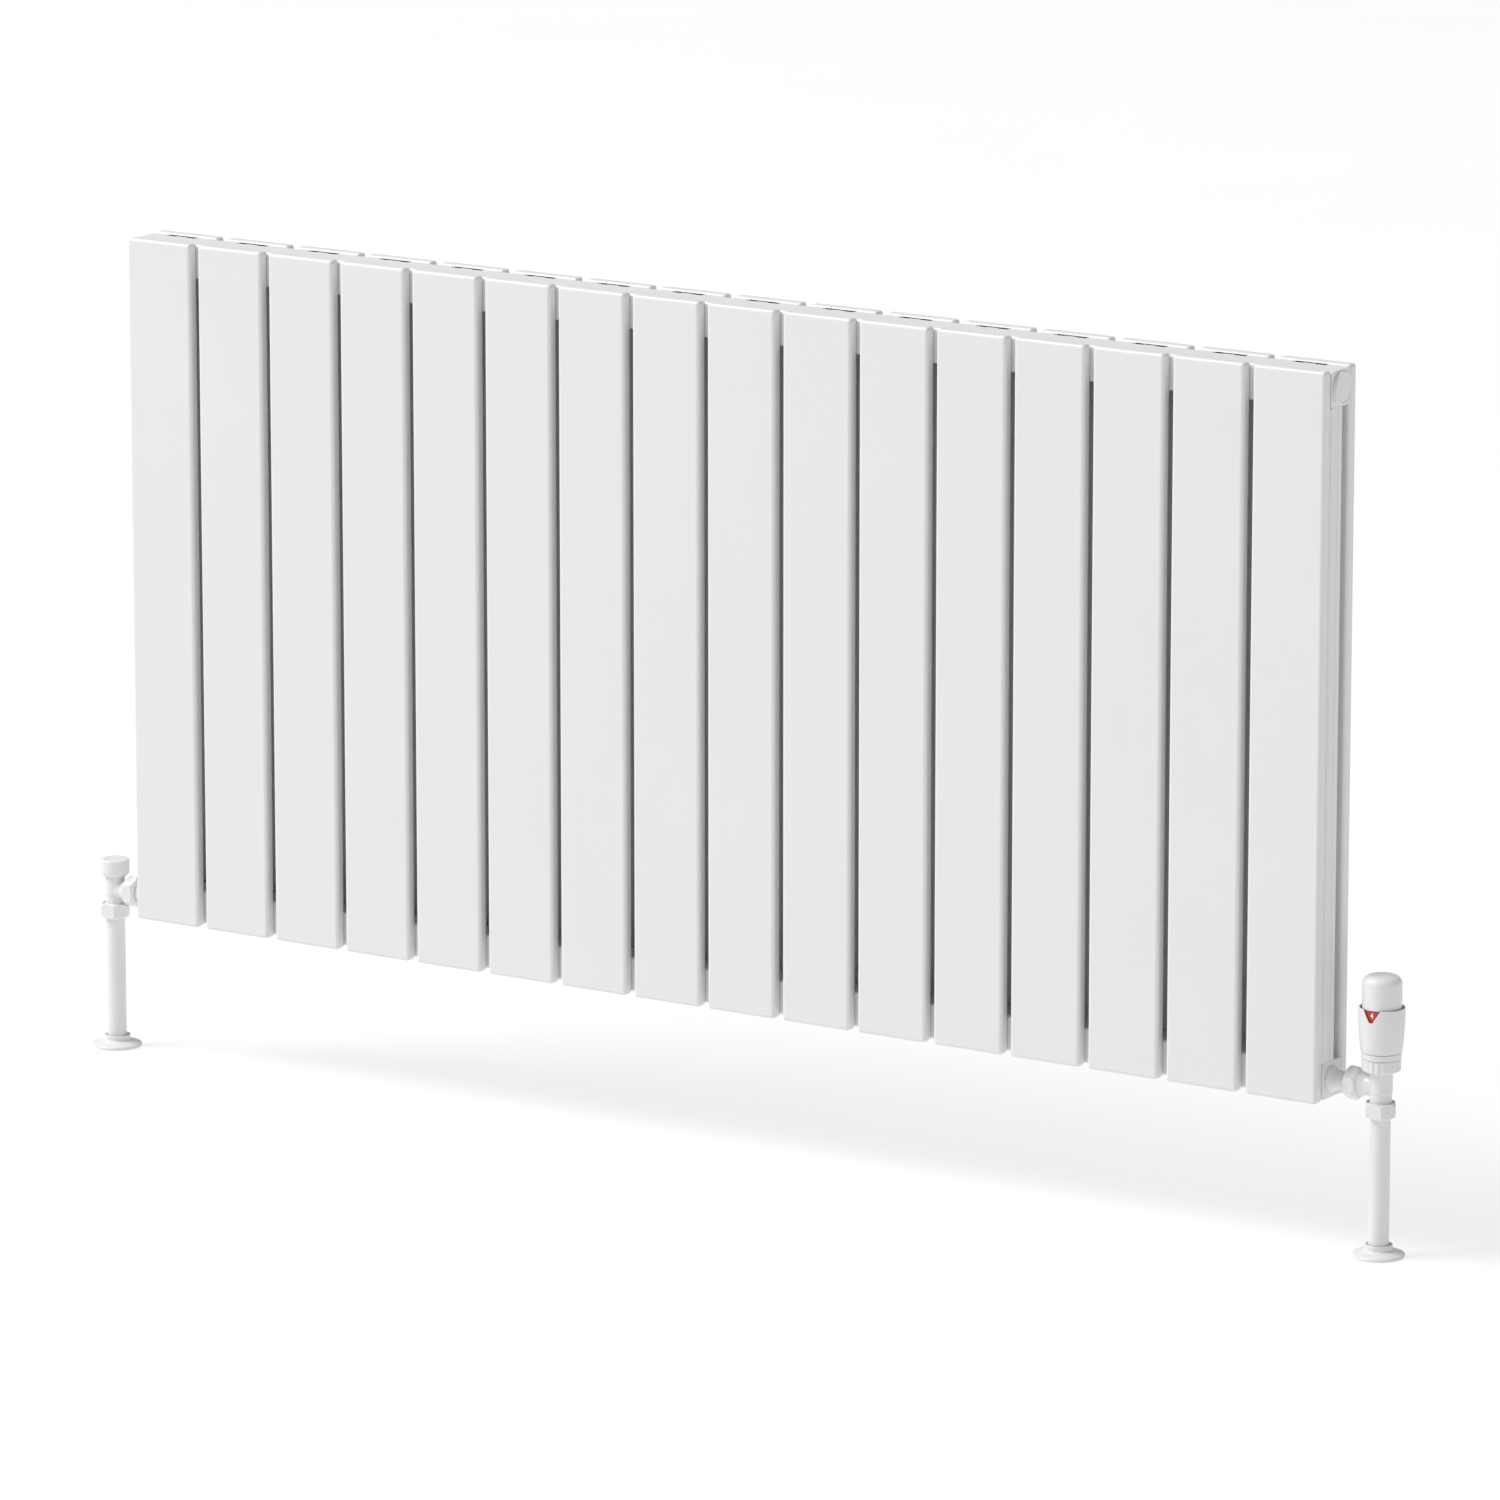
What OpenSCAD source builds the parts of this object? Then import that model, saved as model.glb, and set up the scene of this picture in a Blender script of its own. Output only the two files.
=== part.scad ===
// Double flat-panel radiator with a thermostatic valve, a lockshield valve
// and its floor pipework.
// Millimetres, +Z up. The wall is the plane Y = 0 and the room is at -Y.
// The origin is the centre of the four wall fixing holes, at mid height.

/* [Panels] */
// panels in each row
panel_count = 16; // [12:2:16]
// distance between panel centres
panel_pitch = 74; // [70:0.5:80]
// width of one panel
panel_width = 66; // [60:0.5:68]
// front to back thickness of one panel
panel_thick = 11; // [9:0.5:14]
// height of the panels
panel_height = 600; // [400:10:900]
// radius on every panel edge
panel_radius = 3; // [1.5:0.25:4]
// steel thickness of a panel
panel_wall = 1.2; // [1:0.1:2]
// gap between the back row and the wall
wall_gap = 30; // [25:1:60]

/* [Headers] */
// outside size of the square header tube
header_size = 30; // [25:1:40]
// steel thickness of the header tube
header_wall = 2; // [1.5:0.1:3]
// distance from the panel ends in to the header
header_inset = 1.5; // [0:0.5:10]
// corner radius of the header tube
header_radius = 2.5; // [1:0.25:4]
// waterway between a header and a panel
port_d = 8; // [5:0.5:10]
// tapped hole in a header end
tapping_d = 19; // [15:0.5:24]
// depth of the tapped end boss
boss_depth = 16; // [12:1:24]
// front to back size of the riser inside each end
riser_depth = 20; // [12:1:28]
// width of the riser inside each end
riser_width = 30; // [20:1:50]

/* [End plugs] */
// diameter of an end plug's flange
plug_d = 26.6; // [22:0.2:30]
// how far a plug's flange stands out
plug_stand = 3.4; // [2:0.2:6]
// diameter of the air vent screw
vent_d = 6; // [4:0.5:8]

/* [Pipework] */
// outside diameter of the copper pipe
pipe_d = 15; // [12:1:16]
// wall of the copper pipe
pipe_wall = 0.7; // [0.6:0.1:1.2]
// outside diameter of the pipe cover
sleeve_d = 16.7; // [15.8:0.1:20]
// distance from the header centre line down to the floor
floor_drop = 141.5; // [100:0.5:250]
// diameter of a floor collar
collar_d = 43.3; // [36:0.1:60]
// height of a floor collar
collar_height = 10.5; // [6:0.5:16]
// diameter of a floor collar's hub
collar_hub_d = 23; // [20:0.5:28]
// size across the flats of a compression nut
comp_nut_af = 24; // [22:0.5:27]
// height of a compression nut
comp_nut_height = 13.5; // [13:0.5:18]

/* [Unions] */
// size across the flats of a union nut
union_nut_af = 24.4; // [23:0.2:30]
// length of a union nut
union_nut_length = 12.5; // [10:0.5:14]
// distance from the header end to the nearest face of a union nut
union_nut_gap = 15.5; // [12:0.5:18]
// diameter of the flange of a union tail
tail_flange_d = 22; // [21:0.5:28]
// bore through the unions and valves
waterway_d = 11; // [9:0.5:13]

/* [Thermostatic valve] */
// distance from the header end to the thermostatic valve's axis
trv_reach = 45.6; // [40:0.2:60]
// diameter of the valve body
trv_body_d = 19.3; // [17:0.1:24]
// diameter of the head nut
head_nut_d = 32; // [31:0.5:36]
// grip ribs round the head nut
head_nut_ribs = 20; // [12:1:36]
// height of the head nut's underside above the valve's centre line
head_nut_z = 13.8; // [12:0.2:18]
// height of the head nut
head_nut_height = 10.2; // [10:0.2:12]
// height of the joint under the handwheel, above the centre line
wheel_z = 29.6; // [26:0.2:36]
// height of the handwheel's rim above the centre line
wheel_rim_z = 66.6; // [55:0.2:80]
// handwheel diameter at the foot
wheel_foot_d = 33.4; // [33:0.2:36]
// handwheel diameter at the rim
wheel_rim_d = 38; // [37.8:0.2:46]
// width of the scale window at the rim
window_width = 15.4; // [8:0.2:18]
// depth of the scale window below the rim
window_depth = 10.2; // [5:0.2:12]
// diameter of the sensor cap
cap_d = 32.6; // [28:0.2:32.8]
// height of the sensor cap's crown above the centre line
cap_top_z = 93; // [80:0.5:110]
// how far the valve disc stands off its seat at setting 4
disc_lift = 1.7; // [0.5:0.1:2.5]

/* [Lockshield valve] */
// distance from the header end to the lockshield valve's axis
lock_reach = 41.8; // [38:0.2:60]
// diameter of the lockshield body
lock_body_d = 17.5; // [16:0.1:18.4]
// diameter of the lockshield cap
lock_cap_d = 25.6; // [22:0.2:30]
// height of the cap's lower edge above the centre line
lock_cap_z = 12; // [9:0.2:16]
// height of the cap
lock_cap_height = 15; // [12:0.5:24]
// how far the lockshield plug stands off its seat
lock_lift = 2; // [0.5:0.1:3]

/* [Wall brackets] */
// panel spacing from the middle of the radiator out to a bracket
bracket_panels = 5.5; // [1.5:1:5.5]
// distance from a panel end to the level of a wall fixing hole
fixing_inset = 70; // [55:5:120]
// diameter of a wall fixing hole
fixing_d = 8; // [5:0.5:10]
// thickness of the bracket steel
bracket_thick = 3; // [2:0.5:5]

/* [Hidden] */
$fn = 48;
half_length = (panel_count - 1) * panel_pitch / 2 + panel_width / 2;
back_row_y = -wall_gap - panel_thick / 2;
header_y = -wall_gap - panel_thick - header_size / 2;
front_row_y = header_y - header_size / 2 - panel_thick / 2;
header_z = panel_height / 2 - header_inset - header_size / 2;
valve_z = -header_z;
floor_z = valve_z - floor_drop;
trv_x = half_length + trv_reach;
lock_x = -half_length - lock_reach;
bracket_x = bracket_panels * panel_pitch;
fixing_z = panel_height / 2 - fixing_inset;
edge = 0.8; // radius on a turned edge
clear = 0.3; // gap between pieces that move past each other
slip = 0.1; // gap between fixed pieces that nest, across the diameter
run_fit = 0.12; // gap of a running fit, across the diameter
over = 1; // how far a cut runs past the face it opens
thread_d = tapping_d - 0.2;
thread_end = boss_depth - 2;
neck_d = 16; // neck of a union tail
seat_z = -4;
seat_depth = 3;
bore_top_z = 8;
side_port_d = 8;
chamber_d = waterway_d + 3;
socket_z = -12;
stub_d = 19.3; // threaded stub under a compression nut
stub_z = -22.5;
comp_nut_z = -12.5;
branch_thread_d = 19.8;
branch_flare_d = union_nut_af - 3; // where a branch meets its union nut
bonnet_d = 16;
head_thread_d = 28;
tower_d = 24;
tower_bore_d = 19;
tower_top_z = wheel_rim_z - window_depth - 3;
capsule_d = tower_bore_d - 2 * clear;
pin_d = 3;
pin_top_z = 27.4;
spring_foot_z = 9;
spring_top_z = 17;
lock_plug_d = waterway_d + 0.6;
lock_screw_d = 5;
lock_pin_d = 8;
lock_top_z = lock_cap_z + 2.6;
arm_rise = 25;
arm_width = 22;
tongue_gap = 1.4; // between a bracket's tongue and the back panel
white = [0.93, 0.93, 0.92];
brass = [0.78, 0.62, 0.32];
steel = [0.72, 0.73, 0.75];
copper = [0.72, 0.42, 0.28];
red = [0.84, 0.16, 0.1];

FRONT_ROW = [for (i = [1 : panel_count]) str("front_panel_", i < 10 ? "0" : "", i)];
BACK_ROW = [for (i = [1 : panel_count]) str("back_panel_", i < 10 ? "0" : "", i)];
FITTINGS = [
  "top_header", "bottom_header", "end_risers", "blanking_plug", "vent_plug",
  "vent_screw", "union_tails", "union_nuts", "compression_nuts", "pipes",
  "pipe_covers", "floor_collars", "trv_body", "trv_insert", "trv_spindle",
  "trv_spring", "trv_head_nut", "trv_head_base", "trv_handwheel",
  "trv_scale_ring", "trv_sensor", "trv_sensor_cap", "lock_body",
  "lock_spindle", "lock_plug", "lock_cap", "wall_brackets", "hanging_lugs"
];

// ---- helpers ---------------------------------------------------------

// a rectangle with true arcs at its corners
module rounded_rect(w, h, r) {
  square([w - 2 * r, h], center = true);
  square([w, h - 2 * r], center = true);
  for (sx = [-1, 1], sy = [-1, 1])
    translate([sx * (w / 2 - r), sy * (h / 2 - r)])
      circle(r = r);
}

// a block rounded on every edge, centred on the origin
module soft_block(w, t, h, r) {
  intersection() {
    linear_extrude(h, center = true)
      rounded_rect(w, t, r);
    rotate([90, 0, 0])
      linear_extrude(t, center = true)
        rounded_rect(w, h, r);
    rotate([90, 0, 90])
      linear_extrude(w, center = true)
        rounded_rect(t, h, r);
  }
}

// a round bar from z0 to z1
module post(d, z0, z1) {
  translate([0, 0, z0])
    cylinder(d = d, h = z1 - z0);
}

// a washer or tube from z0 to z1
module ring(d_out, d_in, z0, z1) {
  difference() {
    post(d_out, z0, z1);
    post(d_in, z0 - 1, z1 + 1);
  }
}

// a cone from z0 to z1
module taper(d0, d1, z0, z1) {
  translate([0, 0, z0])
    cylinder(d1 = d0, d2 = d1, h = z1 - z0);
}

// a hexagon bar, its corners turned off by a cone at each end; foot and head
// are the lengths of the cones, foot_d and head_d the diameters they end at
module hex_nut(af, z0, z1, foot, foot_d, head, head_d) {
  corner_d = af / cos(30);
  full_d = corner_d + 0.2;
  intersection() {
    translate([0, 0, z0])
      cylinder(d = corner_d, h = z1 - z0, $fn = 6);
    union() {
      taper(foot_d, full_d, z0, z0 + foot);
      post(full_d, z0 + foot, z1 - head);
      taper(full_d, head_d, z1 - head, z1);
    }
  }
}

// its children once at each valve, given in that valve's own frame:
// +Z up, +X towards the radiator
module at_trv() {
  translate([trv_x, header_y, valve_z])
    mirror([1, 0, 0])
      children();
}

module at_lock() {
  translate([lock_x, header_y, valve_z])
    children();
}

module at_valves() {
  at_trv() children();
  at_lock() children();
}

// its children at both bottom header ends, +Z pointing away from the header
module at_bottom_ends() {
  for (side = [-1, 1])
    translate([side * half_length, header_y, valve_z])
      rotate([0, side * 90, 0])
        children();
}

// ---- radiator --------------------------------------------------------

// a hollow panel with its two waterways; face is +1 if they open to +Y
module panel(face) {
  color(white)
    difference() {
      soft_block(panel_width, panel_thick, panel_height, panel_radius);
      soft_block(panel_width - 2 * panel_wall, panel_thick - 2 * panel_wall,
                 panel_height - 2 * panel_wall, panel_radius - panel_wall);
      for (end = [-1, 1])
        translate([0, 0, end * header_z])
          rotate([-90 * face, 0, 0])
            cylinder(d = port_d, h = panel_thick);
    }
}

module panel_at(index, row_y, face) {
  translate([(index - (panel_count - 1) / 2) * panel_pitch, row_y, 0])
    panel(face);
}

// a square tube with a tapped boss in each end and a waterway to each panel
module header_tube() {
  color(white)
    difference() {
      rotate([90, 0, 90])
        linear_extrude(2 * half_length, center = true)
          rounded_rect(header_size, header_size, header_radius);
      cube([2 * (half_length - boss_depth), header_size - 2 * header_wall,
            header_size - 2 * header_wall], center = true);
      rotate([0, 90, 0])
        cylinder(d = tapping_d, h = 2 * (half_length + over), center = true);
      for (i = [0 : panel_count - 1])
        translate([(i - (panel_count - 1) / 2) * panel_pitch, 0, 0])
          rotate([90, 0, 0])
            cylinder(d = port_d, h = header_size + 2 * over, center = true);
    }
}

module top_header() {
  translate([0, header_y, header_z])
    header_tube();
}

module bottom_header() {
  translate([0, header_y, -header_z])
    header_tube();
}

// a closed flat tube standing between the headers at each end
module end_risers() {
  riser_height = 2 * header_z - header_size;
  color(white)
    for (side = [-1, 1])
      translate([side * (half_length - riser_width / 2),
                 header_y - header_size / 2 + riser_depth / 2, 0])
        difference() {
          linear_extrude(riser_height, center = true)
            rounded_rect(riser_width, riser_depth, panel_radius);
          linear_extrude(riser_height - 2 * panel_wall, center = true)
            rounded_rect(riser_width - 2 * panel_wall,
                         riser_depth - 2 * panel_wall,
                         panel_radius - panel_wall);
        }
}

// a flanged plug along +Z, its thread in the header at negative z
module plug_blank() {
  rotate_extrude()
    union() {
      translate([0, -thread_end])
        square([thread_d / 2, thread_end]);
      square([plug_d / 2 - edge, plug_stand]);
      square([plug_d / 2, plug_stand - edge]);
      translate([plug_d / 2 - edge, plug_stand - edge])
        circle(r = edge);
    }
}

module blanking_plug() {
  color(white)
    translate([half_length, header_y, header_z])
      rotate([0, 90, 0])
        plug_blank();
}

// the vent's screw hole, its inlet and a cross hole for the air to leave by
module vent_plug() {
  hole_end = -6;
  inlet_d = 2;
  outlet_d = 1.4;
  color(white)
    translate([-half_length, header_y, header_z])
      rotate([0, -90, 0])
        difference() {
          plug_blank();
          post(vent_d + run_fit, hole_end, plug_stand + over);
          post(inlet_d, -boss_depth, hole_end + over);
          translate([0, 0, plug_stand / 2])
            rotate([0, 90, 0])
              cylinder(d = outlet_d, h = plug_d);
        }
}

// needle tip, stem and a square for the key
module vent_screw() {
  tip_z = -5.6;
  stem_z = -4;
  stem_end = plug_stand - 0.4;
  square_size = 0.7 * vent_d;
  square_length = 3.2;
  color(brass)
    translate([-half_length, header_y, header_z])
      rotate([0, -90, 0]) {
        taper(0.4 * vent_d, vent_d, tip_z, stem_z);
        post(vent_d, stem_z, stem_end);
        translate([0, 0, stem_end + square_length / 2])
          cube([square_size, square_size, square_length], center = true);
      }
}

// ---- unions and pipework ---------------------------------------------

// the part screwed into the header: thread, flange, neck and sealing collar
module union_tails() {
  flange = 1.8;
  shoulder = 3.2;
  collar = 1.4;
  tail_end = union_nut_gap + 3;
  color(white)
    at_bottom_ends()
      difference() {
        union() {
          post(thread_d, -thread_end, 0);
          post(tail_flange_d, 0, flange);
          taper(tail_flange_d, neck_d + 1, flange, flange + shoulder);
          post(neck_d, flange, tail_end);
          post(branch_thread_d - 0.4, tail_end - collar, tail_end);
        }
        post(waterway_d, -boss_depth, tail_end + over);
      }
}

// the cone on the valve's side is the longer one and carries on into the flare
// of the branch
module union_nuts() {
  nut_end = union_nut_gap + union_nut_length;
  lip_end = union_nut_gap + 1.5;
  color(white)
    at_bottom_ends()
      difference() {
        hex_nut(union_nut_af, union_nut_gap, nut_end, 2.4, union_nut_af - 2.4,
                4, branch_flare_d);
        post(neck_d + 2 * slip, union_nut_gap - over, lip_end + over);
        post(branch_thread_d + 2 * slip, lip_end, nut_end + over);
      }
}

// a hexagon round the stub, its upper face countersunk
module compression_nuts() {
  nut_end = comp_nut_z - comp_nut_height;
  floor_thick = 3;
  recess_d = comp_nut_af - 1.8;
  recess = 1.5;
  color(white)
    at_valves()
      difference() {
        hex_nut(comp_nut_af, nut_end, comp_nut_z, 3, comp_nut_af - 4.6,
                2.6, comp_nut_af);
        post(recess_d, comp_nut_z - recess, comp_nut_z + over);
        post(stub_d + clear, nut_end + floor_thick, comp_nut_z);
        post(pipe_d + clear, nut_end - over, nut_end + floor_thick + over);
      }
}

module pipes() {
  color(copper)
    at_valves()
      ring(pipe_d, pipe_d - 2 * pipe_wall, floor_z - valve_z,
           socket_z - clear);
}

module pipe_covers() {
  color(white)
    at_valves()
      ring(sleeve_d, pipe_d + 2 * slip, floor_z - valve_z,
           comp_nut_z - comp_nut_height);
}

// a shallow cone with a rounded edge and, round the pipe cover, a raised hub
// with a thin lip
module floor_collars() {
  bore = sleeve_d + 2 * slip;
  rim = 3;
  shell = 1.6;
  lip = 1.2;
  lip_depth = 2;
  shoulder_z = collar_height - 4.4;
  color(white)
    at_valves()
      translate([0, 0, floor_z - valve_z])
        rotate_extrude()
          difference() {
            union() {
              square([collar_d / 2 - rim / 2, rim]);
              square([collar_d / 2, rim / 2]);
              translate([collar_d / 2 - rim / 2, rim / 2])
                circle(r = rim / 2);
              polygon([[0, rim - 0.2], [collar_d / 2 - 2.4, rim - 0.2],
                       [collar_hub_d / 2, shoulder_z], [0, shoulder_z]]);
              square([collar_hub_d / 2, collar_height - lip / 2]);
              translate([collar_hub_d / 2 - lip / 2, collar_height - lip / 2])
                circle(d = lip);
            }
            translate([0, -over])
              square([bore / 2, collar_height + 2 * over]);
            translate([0, collar_height - lip_depth])
              square([collar_hub_d / 2 - lip, lip_depth + over]);
            translate([0, -over])
              square([collar_d / 2 - rim, shell + over]);
          }
}

// ---- valve bodies ----------------------------------------------------

// outside of an angle valve: column, pipe stub and side branch.
// reach is the distance from the valve's axis to the header end.
module valve_outside(d, reach, top_z) {
  step_z = -5;
  branch_d = d - 1.8;
  branch_end = reach - union_nut_gap - 3.2;
  nut_face = reach - union_nut_gap - union_nut_length - slip;
  flare = 4.5;
  post(d, step_z, top_z);
  post(d - 1.2, comp_nut_z - over, step_z);
  post(stub_d, stub_z, comp_nut_z - 0.4);
  rotate([0, 90, 0]) {
    cylinder(d = branch_d, h = nut_face);
    taper(branch_d, branch_flare_d, nut_face - flare, nut_face);
    post(branch_thread_d, nut_face - 0.8, branch_end);
  }
}

// waterways of an angle valve: pipe socket, seat, chamber and side branch
module valve_inside(reach, chamber) {
  post(pipe_d + slip, stub_z - over, socket_z);
  post(waterway_d, socket_z - over, seat_z - seat_depth);
  post(waterway_d - 2, seat_z - seat_depth - over, seat_z + over);
  post(chamber, seat_z, bore_top_z);
  rotate([0, 90, 0])
    cylinder(d = side_port_d, h = reach);
}

// ---- thermostatic valve ----------------------------------------------

module trv_body() {
  head_seat_z = head_nut_z + 1.2;
  head_thread = 6;
  color(white)
    at_trv()
      difference() {
        union() {
          valve_outside(trv_body_d, trv_reach, head_seat_z);
          post(head_thread_d, head_seat_z, head_seat_z + head_thread);
        }
        valve_inside(trv_reach, chamber_d);
        post(bonnet_d + slip, bore_top_z - 3, head_seat_z + head_thread + over);
      }
}

// screwed-in bonnet that guides the spindle
module trv_insert() {
  hex_z = head_nut_z + 7.3;
  hex_d = 21.6;
  spring_well_d = 9.2;
  color(brass)
    at_trv()
      difference() {
        union() {
          post(bonnet_d, bore_top_z - 2.5, hex_z + 1.7);
          translate([0, 0, hex_z])
            cylinder(d = hex_d, h = 2.7, $fn = 6);
        }
        post(pin_d + run_fit, 0, spring_foot_z + over);
        post(spring_well_d, spring_foot_z, hex_z + 2.7 + over);
      }
}

// disc, hub, pin and the washer that the spring lifts
module trv_spindle() {
  disc_z = seat_z + disc_lift;
  hub_z = disc_z + 2.6;
  hub_top_z = hub_z + 1.8;
  color(steel)
    at_trv() {
      post(waterway_d + 0.4, disc_z, hub_z);
      post(2 * pin_d, hub_z, hub_top_z);
      post(pin_d, hub_top_z, pin_top_z);
      post(8.4, spring_top_z, spring_top_z + 1.5);
    }
}

module trv_spring() {
  wire = 0.8;
  coil_r = 3.3;
  coils = 5;
  gap = 0.05;
  coil_gap = (spring_top_z - spring_foot_z - wire - 2 * gap) / (coils - 1);
  color(steel)
    at_trv()
      for (i = [0 : coils - 1])
        translate([0, 0, spring_foot_z + wire / 2 + gap + i * coil_gap])
          rotate_extrude()
            translate([coil_r, 0])
              circle(d = wire);
}

// knurled nut that clamps the head to the valve
module trv_head_nut() {
  nut_top = head_nut_z + head_nut_height;
  root_d = head_nut_d - 1.2;
  clamp_z = nut_top - 1.4;
  rib_depth = 2;
  rib_width = 2.6;
  color(white)
    at_trv()
      difference() {
        union() {
          post(root_d, head_nut_z, nut_top);
          for (i = [0 : head_nut_ribs - 1])
            rotate([0, 0, i * 360 / head_nut_ribs])
              translate([(head_nut_d - rib_depth) / 2, 0,
                         (head_nut_z + nut_top) / 2])
                cube([rib_depth, rib_width, head_nut_height - 1],
                     center = true);
        }
        post(head_thread_d + 2 * slip, head_nut_z - over, clamp_z);
        post(head_thread_d - 2.4, head_nut_z, nut_top + over);
      }
}

// fixed foot of the head: clamp flange, visible band and guide tower
module trv_head_base() {
  nut_top = head_nut_z + head_nut_height;
  flange_z = nut_top - 2.8;
  flange = 1.3;
  well_d = 22.4;
  well_top_z = nut_top + 0.1;
  color(white)
    at_trv()
      difference() {
        union() {
          post(head_thread_d - 0.4, flange_z, flange_z + flange);
          post(head_thread_d - 2.6, flange_z, nut_top + clear);
          post(wheel_foot_d - 0.4, nut_top + 0.2, wheel_z - clear);
          post(tower_d, nut_top, tower_top_z);
        }
        post(well_d, flange_z - over, well_top_z);
        post(tower_bore_d, flange_z, tower_top_z + over);
      }
}

// the handwheel's outer form, or its inner one at some inset: nearly straight
// at the rim and drawn in towards the foot
module wheel_form(inset, lap) {
  height = wheel_rim_z - wheel_z;
  hip_z = wheel_z + 0.19 * height;
  hip_d = wheel_foot_d + 2 - 2 * inset;
  chest_z = wheel_z + 0.65 * height;
  chest_d = wheel_rim_d - 0.2 - 2 * inset;
  taper(wheel_foot_d - 2 * inset, hip_d, wheel_z - lap, hip_z);
  taper(hip_d, chest_d, hip_z, chest_z);
  taper(chest_d, wheel_rim_d - 2 * inset, chest_z, wheel_rim_z + lap);
}

// turning sleeve with a blunt notch through which the scale shows
module trv_handwheel() {
  wall = 1.2;
  web = 2.4;
  lap = 0.01;
  tip = 3;
  color(white)
    at_trv()
      difference() {
        union() {
          difference() {
            wheel_form(0, 0);
            wheel_form(wall, lap);
          }
          ring(wheel_foot_d - wall, tower_d + 2 * clear, wheel_z,
               wheel_z + web);
        }
        translate([0, 0, wheel_rim_z])
          rotate([90, 0, 0])
            linear_extrude(wheel_rim_d)
              polygon([[-window_width / 2, 0], [-window_width / 2, over],
                       [window_width / 2, over], [window_width / 2, 0],
                       [tip / 2, -window_depth], [-tip / 2, -window_depth]]);
      }
}

// coloured band behind the notch, fixed to the sensor cap
module trv_scale_ring() {
  wall = 0.5;
  color(red)
    at_trv()
      ring(cap_d + slip + 2 * wall, cap_d + slip,
           wheel_rim_z - window_depth - 2 * clear, wheel_rim_z - 2 * clear);
}

// wax sensor in its carrier: slides in the tower and presses the spindle
module trv_sensor() {
  nose_z = pin_top_z + slip;
  nose_top_z = nose_z + 3;
  shoulder_z = tower_top_z + 3.5;
  flare_z = shoulder_z + 3;
  head_top_z = cap_top_z - 7;
  color(steel)
    at_trv() {
      post(5, nose_z, nose_top_z);
      post(capsule_d, nose_top_z, shoulder_z);
      taper(capsule_d, tower_d, shoulder_z, flare_z);
      post(tower_d, flare_z, head_top_z - 2);
      taper(tower_d, tower_d - 4, head_top_z - 2, head_top_z);
    }
}

module trv_sensor_cap() {
  wall = 2;
  crown_r = 7;
  radius = cap_d / 2;
  foot_bore = tower_d - 2.4;
  skirt = cap_top_z - crown_r - tower_top_z;
  color(white)
    at_trv()
      translate([0, 0, tower_top_z])
        rotate_extrude()
          difference() {
            union() {
              square([radius, skirt]);
              square([radius - crown_r, skirt + crown_r]);
              translate([radius - crown_r, skirt])
                circle(r = crown_r);
            }
            translate([0, wall])
              square([radius - wall, skirt - wall]);
            translate([0, wall])
              square([radius - crown_r, skirt + crown_r - 2 * wall]);
            translate([radius - crown_r, skirt])
              circle(r = crown_r - wall);
            translate([0, -over])
              square([foot_bore / 2, wall + 2 * over]);
          }
}

// ---- lockshield valve ------------------------------------------------

module lock_body() {
  color(white)
    at_lock()
      difference() {
        valve_outside(lock_body_d, lock_reach, lock_top_z);
        valve_inside(lock_reach, lock_plug_d + run_fit);
        post(lock_pin_d + run_fit, bore_top_z - over, lock_top_z + over);
      }
}

// spindle turned with a spanner once the cap is off
module lock_spindle() {
  square_size = 5.6;
  square_length = 5.6;
  pin_end = lock_top_z + 1.4;
  color(brass)
    at_lock() {
      post(lock_screw_d, 2.5, bore_top_z);
      post(lock_pin_d, bore_top_z - edge, pin_end);
      translate([0, 0, pin_end + square_length / 2])
        cube([square_size, square_size, square_length], center = true);
    }
}

// plug that climbs the spindle's thread to set the flow
module lock_plug() {
  plug_z = seat_z + lock_lift;
  plug_top_z = plug_z + 6;
  nose_d = waterway_d - 3.4;
  nose = 1.6;
  color(brass)
    at_lock()
      difference() {
        union() {
          post(lock_plug_d, plug_z, plug_top_z);
          taper(nose_d, nose_d + 1, plug_z - nose, plug_z);
        }
        post(lock_screw_d + run_fit, plug_z + over, plug_top_z + over);
      }
}

// plain push-on cap, its lower edge coned in to a socket round the body
module lock_cap() {
  wall = 1.6;
  crown_r = 1.5;
  foot = 2.6;
  foot_r = 10.4;
  well_r = 8.2;
  radius = lock_cap_d / 2;
  socket_r = lock_body_d / 2 + 2 * clear;
  socket = lock_top_z + clear - lock_cap_z;
  color(white)
    at_lock()
      translate([0, 0, lock_cap_z])
        rotate_extrude()
          difference() {
            union() {
              polygon([[0, 0], [foot_r, 0], [radius, foot], [0, foot]]);
              translate([0, foot])
                square([radius, lock_cap_height - foot - crown_r]);
              square([radius - crown_r, lock_cap_height]);
              translate([radius - crown_r, lock_cap_height - crown_r])
                circle(r = crown_r);
            }
            translate([0, -over])
              square([socket_r, socket + over]);
            square([well_r, lock_cap_height - wall]);
          }
}

// ---- wall fixing -----------------------------------------------------

// its children at the four brackets, with the fixing hole at z = 0
module at_brackets() {
  for (sx = [-1, 1], sz = [-1, 1])
    translate([sx * bracket_x, 0, sz * fixing_z])
      children();
}

// wall plate, arm and upturned tongue
module wall_brackets() {
  plate_width = 40;
  plate_drop = 25;
  tongue = 18;
  tongue_y = -wall_gap + tongue_gap;
  color(white)
    at_brackets()
      difference() {
        union() {
          translate([-plate_width / 2, -bracket_thick, -plate_drop])
            cube([plate_width, bracket_thick, arm_rise + plate_drop]);
          translate([-arm_width / 2, tongue_y, arm_rise - bracket_thick])
            cube([arm_width, -tongue_y, bracket_thick]);
          translate([-arm_width / 2, tongue_y, arm_rise - bracket_thick])
            cube([arm_width, bracket_thick, bracket_thick + tongue]);
        }
        rotate([90, 0, 0])
          cylinder(d = fixing_d, h = 4 * bracket_thick, center = true);
      }
}

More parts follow.
